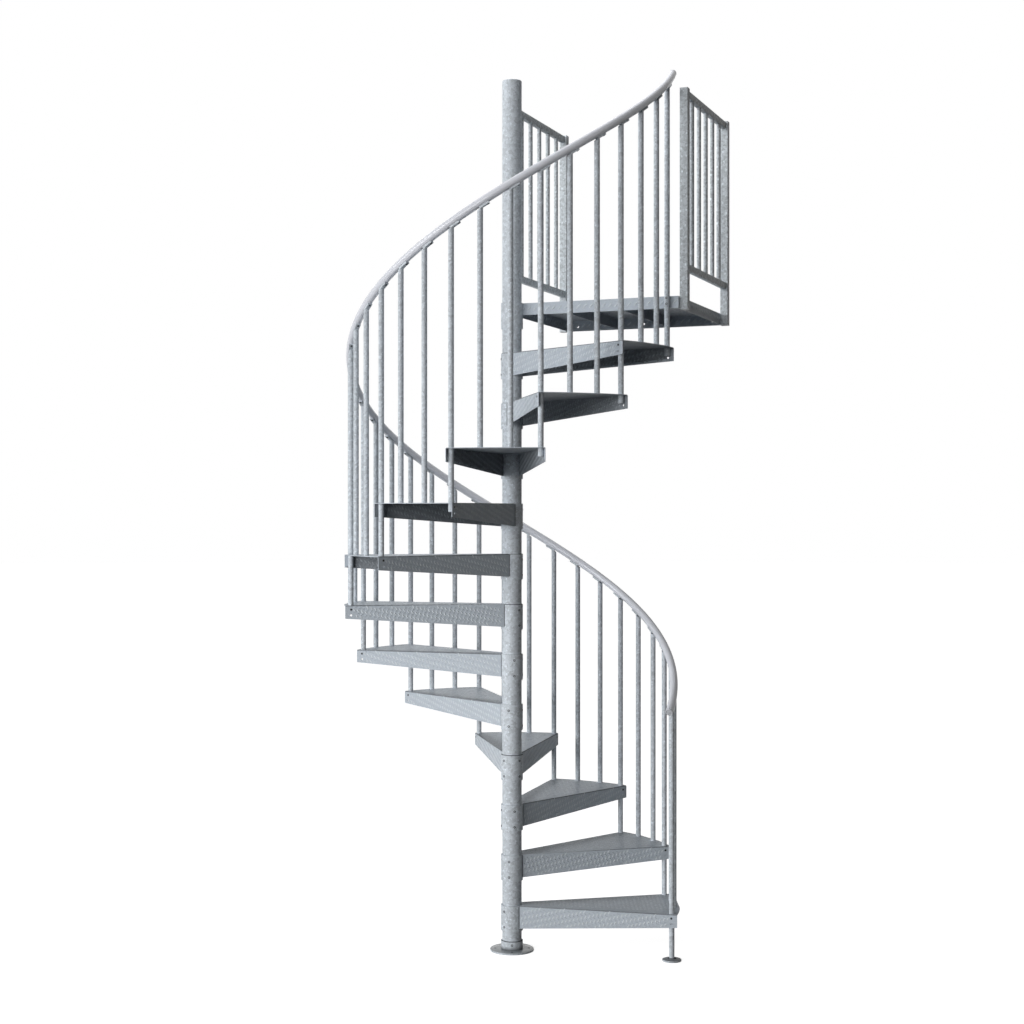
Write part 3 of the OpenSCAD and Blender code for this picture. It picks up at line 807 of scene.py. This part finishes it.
landing = {
    "foldRadius": 0.0042, "tubeEdge": 0.002, "width": 0.785, "front": 0.0128, "rear": 0.76, "depth": 0.054,
    "plate": 0.003, "topLug": 0.0009, "bareEnd": 0.01, "topEdge": 0.02,
}
landingFinishes = {"plate": plateZinc, "tube": tubeZinc, "lug": litLugZinc}
landingLugs = dict(tearPattern, **{
    "Columns": 26, "Rows": 3, "Pitch": 0.03, "Row": 0.2, "Turn": 0.0, "Start": 0.0, "Edge": 0.01,
    "Root Depth": landing["depth"], "End Depth": landing["depth"], "Lug Length": 0.031, "Lug Width": 0.0075,
    "Lug Height": 0.0026, "Lean": math.pi / 4,
})


def landingFaces():  # both faces of the four folded sides: where each lies, and its length
    near, far = landing["front"], landing["rear"]
    wide, deep, thick = landing["width"], far - near, landing["plate"]
    alongX, alongY = Vector((1, 0, 0)), Vector((0, 1, 0))
    for y, out in ((near, -1), (near + thick, 1), (far, 1), (far - thick, -1)):
        yield faceMatrix(Vector((0, y, landingTop)), alongX, out * alongY), wide
    for x, out in ((0, -1), (thick, 1), (wide, 1), (wide - thick, -1)):
        yield faceMatrix(Vector((x, near, landingTop)), alongY, out * alongX), deep


def makeLanding():
    shell = shellOf("landing")
    number = numbersOf(landingFinishes)
    folds = [e for e in longEdges(shell) if besideTop(e)]
    for face in shell.faces:
        if isHub(face):
            face.material_index = number["tube"]
    roundEdges(shell, folds, landing["foldRadius"], 4)
    for matrix, length in landingFaces():
        lugs = meshFromTree("landingLugs", tearTree, dict(landingLugs, **{
            "Length": length, "Bare From": length - landing["bareEnd"]}))
        # painted light: every stroke on the landing's sides takes the lighter zinc
        paintAll(lugs, number["lug"])
        addMesh(shell, lugs, matrix)
    deep = landing["rear"] - landing["front"]
    topLugs = meshFromTree("landingTopLugs", tearTree, dict(landingLugs, **{
        "Rows": 26, "Row": landingLugs["Pitch"], "Root Depth": deep, "End Depth": deep,
        "Length": landing["width"], "Bare From": landing["width"] - landing["topEdge"],
        "Edge": landing["topEdge"], "Lug Height": landing["topLug"]}))
    paintAll(topLugs, number["tube"])
    addMesh(shell, topLugs, Matrix.Translation((0, landing["rear"], landingTop)))
    mesh = meshFromShell("landingPlate", shell, landingFinishes.values())
    addPiece("landingPlate", mesh, ["landing"])
    for side in ("left", "right"):
        node = f"landing_guard_{side}"
        shell = shellOf(node)
        roundEdges(shell, longEdges(shell), landing["tubeEdge"], 3)
        addPiece(f"guard{side.title()}", meshFromShell(node, shell, [postZinc]), [node])
    print("landing and guards made")


makeLanding()

# base plate, newel foot and the rail's end plugs

base = {  # heights, and distances from the column's axis that tell the rim, the holes and the collar apart
    "collarTop": 0.049, "chamfer": 0.0035, "plateEdge": 0.0015, "plateTop": 0.01, "facesUp": 0.5,
    "rimFrom": 0.09, "holes": (0.06, 0.095), "collar": (0.048, 0.0505),
}
baseFinishes = {"tube": tubeZinc, "seam": seamShadeZinc, "top": baseZinc, "collar": collarShadeZinc}


def baseFinish(face):
    middle = face.calc_center_median()
    if face.normal.z > base["facesUp"] and middle.z < base["plateTop"]:
        return "top"
    # painted shade: the bolt holes' walls take the dark zinc, and the collar the zinc that darkens towards
    # the floor
    for name, (near, far) in (("seam", base["holes"]), ("collar", base["collar"])):
        if isUpright(face) and near < middle.xy.length < far:
            return name
    return "tube"


def makeBase():
    shell = shellOf("base_plate")
    number = numbersOf(baseFinishes)
    rims = [e for e in shell.edges if isConvex(e) and besideTop(e)
            and all(v.co.xy.length > base["rimFrom"] for v in e.verts)]
    roundEdges(shell, rims, base["plateEdge"], 2)
    for face in shell.faces:
        face.material_index = number[baseFinish(face)]
    # the collar's top chamfer takes the dark zinc: painted shade
    roundEdges(shell, hubEdges(shell, base["collarTop"]), base["chamfer"], 1, number["seam"])
    mesh = meshFromShell("basePlate", shell, baseFinishes.values())
    addPiece("basePlate", mesh, ["base_plate"])


newelFoot = {  # (radius, height) of the disc and of the dark ring round the bar, which is painted shade at the bar's foot
    "profile": [(0, 0), (0.042, 0), (0.043, 0.001), (0.043, 0.0066), (0.0424, 0.0074), (0.0412, 0.0078),
                (0.0372, 0.0081), (0.0362, 0.0083), (0.028, 0.0094), (0.0195, 0.0106)],
    "shadeRing": [(0.0195, 0.0106), (0.019, 0.0126), (0.0172, 0.0136), (0.0122, 0.0138), (0, 0.0138)],
    "steps": 48, "facesUp": 0.8,
}
footFinishes = {"tube": tubeZinc, "seam": seamShadeZinc, "top": footTopShadeZinc}


def makeNewelFoot():
    number = numbersOf(footFinishes)
    shell = turnedShell(newelFoot["profile"], newelFoot["steps"])
    # the foot's upward faces take the dark zinc: painted shade on its top
    for face in shell.faces:
        face.material_index = number["top" if face.normal.z > newelFoot["facesUp"] else "tube"]
    shadeRing = meshFromShell("shadeRing", turnedShell(newelFoot["shadeRing"], newelFoot["steps"]), [])
    paintAll(shadeRing, number["seam"])
    shell.from_mesh(shadeRing)
    bmesh.ops.remove_doubles(shell, verts=shell.verts, dist=1e-6)
    angle = barAngle(0)
    spot = (stair["barCircle"] * math.cos(angle), stair["barCircle"] * math.sin(angle), 0)
    bmesh.ops.translate(shell, verts=shell.verts, vec=spot)
    bmesh.ops.recalc_face_normals(shell, faces=shell.faces)
    mesh = meshFromShell("newelFoot", shell, footFinishes.values(), turnedSharp)
    addPiece("newelFoot", mesh, ["newel_foot"])


railPlug = {  # radii as a share of the rail's, heights in metres
    "profile": [(0.9, -0.001), (0.9, 0.0012), (0.985, 0.002), (1.0, 0.0032), (1.0, 0.0062), (0.97, 0.0078),
                (0.9, 0.0086), (0.72, 0.0088), (0.66, 0.0078), (0.5, 0.0084), (0.25, 0.0092), (0, 0.0094)],
    "steps": 40,
}


def makePlugs():
    turned = [(share * stair["railRadius"], height) for share, height in railPlug["profile"]]
    plug = meshFromShell("railPlug", turnedShell(turned, railPlug["steps"]), [plugPlastic], turnedSharp)
    shell = bmesh.new()
    level = math.cos(railSlope)
    for end, way in (("First", -1), ("Last", 1)):
        angle = helixRail[f"{end} Angle"]
        out = Vector((-math.sin(angle) * level, math.cos(angle) * level, math.sin(railSlope))) * way
        spot = Vector((math.cos(angle), math.sin(angle), 0)) * stair["barCircle"]
        spot.z = helixRail[f"{end} Height"]
        addMesh(shell, plug, Matrix.Translation(spot) @ out.to_track_quat("Z", "Y").to_matrix().to_4x4())
    mesh = meshFromShell("railPlugs", shell, [plugPlastic], turnedSharp)
    addPiece("railPlugs", mesh, ["handrail_end_caps"])


makeBase()
makeNewelFoot()
makePlugs()
print("base plate, newel foot and rail plugs made")

# screws and bolts: small socket heads set on points, each facing its own way

setScrew = {"Sides": 12, "Radius": 0.0052, "Sunk": 0.001, "Height": 0.0022, "Socket": 0.55,
            "Socket Depth": 0.0016, "Material": screwSteel}
flangeBolt = dict(setScrew, **{"Radius": 0.0048, "Height": 0.0024, "Socket Depth": 0.0018})
clipScrew = dict(setScrew, **{"Radius": 0.0045, "Height": 0.003})
fixings = {
    "hubTurn": 135.0, "hubDrops": (0.027, 0.098), "collarTurn": -68.1, "collarHeight": 0.032,
    "collarScrews": 3, "boltDrop": 0.018, "lastBarDrops": (0.011, 0.037), "clipScrewAt": 0.026,
}


def makeHeadTree():
    tree, given = newTree("socketHeads", setScrew, onPoints=True)
    disc = put(tree, "GeometryNodeMeshCircle", {"Vertices": given["Sides"], "Radius": given["Radius"]},
               fill_type="NGON")
    low = put(tree, "ShaderNodeCombineXYZ", {2: calc(tree, "MULTIPLY", given["Sunk"], -1.0)})
    seat = put(tree, "GeometryNodeTransform", {0: disc.outputs[0], "Translation": low.outputs[0]})
    raised = put(tree, "GeometryNodeExtrudeMesh", {"Mesh": seat.outputs[0], "Offset Scale": given["Height"]})
    rim = put(tree, "GeometryNodeExtrudeMesh",
              {"Mesh": raised.outputs["Mesh"], "Selection": raised.outputs["Top"], "Offset Scale": 0.0})
    ring = put(tree, "GeometryNodeScaleElements",
               {"Geometry": rim.outputs["Mesh"], "Selection": rim.outputs["Top"], "Scale": given["Socket"]})
    depth = calc(tree, "MULTIPLY", given["Socket Depth"], -1.0)
    head = put(tree, "GeometryNodeExtrudeMesh", {"Mesh": ring.outputs[0], "Selection": rim.outputs["Top"],
                                                 "Offset Scale": depth})
    aim = put(tree, "GeometryNodeInputNamedAttribute", {0: "aim"}, data_type="FLOAT_VECTOR")
    facing = put(tree, "FunctionNodeAlignRotationToVector", {"Vector": aim.outputs[0]}, axis="Z")
    heads = put(tree, "GeometryNodeInstanceOnPoints",
                {"Points": given["Points"], "Instance": head.outputs["Mesh"], "Rotation": facing.outputs[0]})
    closeTree(tree, heads.outputs[0], given["Material"])
    return tree


headTree = makeHeadTree()


def addHeads(name, wanted, spots):  # spots are (place, way it faces)
    points = bpy.data.meshes.new(name)
    points.from_pydata([place for place, way in spots], [], [])
    aims = points.attributes.new("aim", "FLOAT_VECTOR", "POINT")
    for i, (place, way) in enumerate(spots):
        aims.data[i].vector = way
    mesh = meshFromTree(name, headTree, wanted, points)
    mesh.set_sharp_from_angle(angle=math.radians(40))
    addPiece(name, mesh)
    print(name, "placed:", len(spots))


def roundThe(angle, radius, z):  # a place on an upright tube at the origin, and its way out
    way = Vector((math.cos(angle), math.sin(angle), 0))
    return way * radius + Vector((0, 0, z)), way


def hubScrewSpots():
    turnOut = math.radians(fixings["hubTurn"])
    for k in range(1, stair["treads"] + 1):
        for side in (turnOut, -turnOut):
            for drop in fixings["hubDrops"]:
                yield roundThe(treadAngle(k) + side, stair["hubRadius"], treadTop(k) - drop)
    for s in range(fixings["collarScrews"]):
        angle = math.radians(fixings["collarTurn"] + s * 360 / fixings["collarScrews"])
        yield roundThe(angle, stair["hubRadius"], fixings["collarHeight"])


def flangeBoltSpots():
    foot, along, start, reach, corner, angle = flangeLine()
    for k in range(1, stair["treads"] + 1):
        spin = Matrix.Rotation(treadAngle(k), 3, "Z")
        for side in (1, -1):
            spot = foot + along * corner
            place = Vector((spot.x, side * spot.y, treadTop(k) - fixings["boltDrop"]))
            yield spin @ place, spin @ Vector((-along.y, side * along.x, 0))
    for drop in fixings["lastBarDrops"]:
        yield Vector((stair["barCircle"], -barTubes["Tube Radius"], landingTop - drop)), Vector((0, -1, 0))


def clipScrewSpots():
    offset = Vector((0, fixings["clipScrewAt"], -barTubes["Clip Drop"]))
    for i in range(lastBar + 1):
        spin = Matrix.Rotation(barAngle(i), 3, "Z") @ Matrix.Rotation(railSlope, 3, "X")
        rail = Vector((math.cos(barAngle(i)), math.sin(barAngle(i)), 0)) * stair["barCircle"]
        rail.z = stair["firstRise"] + stair["railHeight"] + i * stair["rise"] / stair["barsPerTread"]
        yield rail + spin @ offset, spin @ Vector((0, 0, -1))


addHeads("hubScrews", setScrew, list(hubScrewSpots()))
addHeads("flangeBolts", flangeBolt, list(flangeBoltSpots()))
addHeads("clipScrews", clipScrew, list(clipScrewSpots()))

for name in ("column", "column_cap", "handrail_clips"):
    nodes[name].data.materials.clear()
    nodes[name].data.materials.append(tubeZinc)
